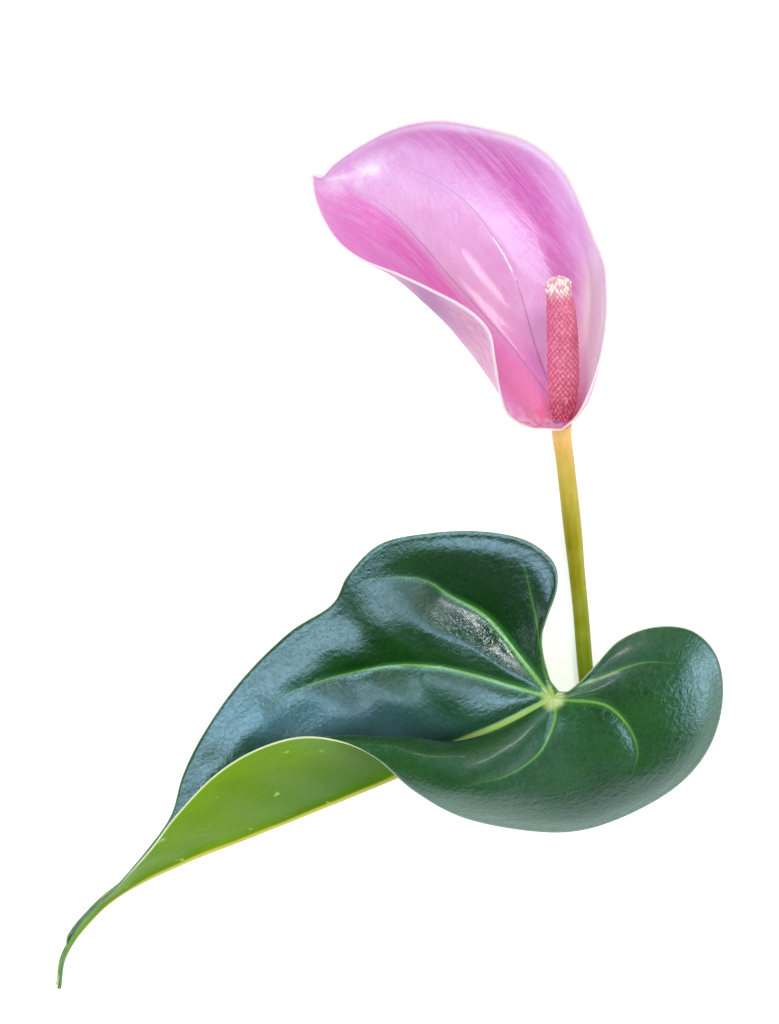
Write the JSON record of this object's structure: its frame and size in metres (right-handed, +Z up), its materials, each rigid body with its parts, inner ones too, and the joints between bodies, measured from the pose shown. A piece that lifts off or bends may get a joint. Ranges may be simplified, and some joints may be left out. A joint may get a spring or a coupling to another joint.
{
  "type": "cut anthurium flower with leaf",
  "caption": "Pink flamingo flower with a cupped spathe and spadix on a green stem, beside its glossy heart-shaped leaf, lying as cut.",
  "frame": {"origin": "centre of the bounding box in plan, on the surface that the flower lies on", "axes": "+Y from the leaf towards the flower, +X to the right as seen from above, +Z up from the surface"},
  "size_m": [0.2014, 0.2624, 0.0517],
  "materials": {
    "leaf": "waxy gloss above, satin and lighter below",
    "stalk": "satin",
    "stem": "satin, tan below the flower and green lower down",
    "spathe": "waxy gloss with fine veins",
    "spadix": "matt, beaded with florets",
    "stub": "matt"
  },
  "bodies": {
    "root": {"leaf_blade": "leaf", "leaf_stalk": "stalk", "flower_stem": "stem", "spathe": "spathe", "spadix": "spadix", "stub": "stub"}
  },
  "joints": []
}
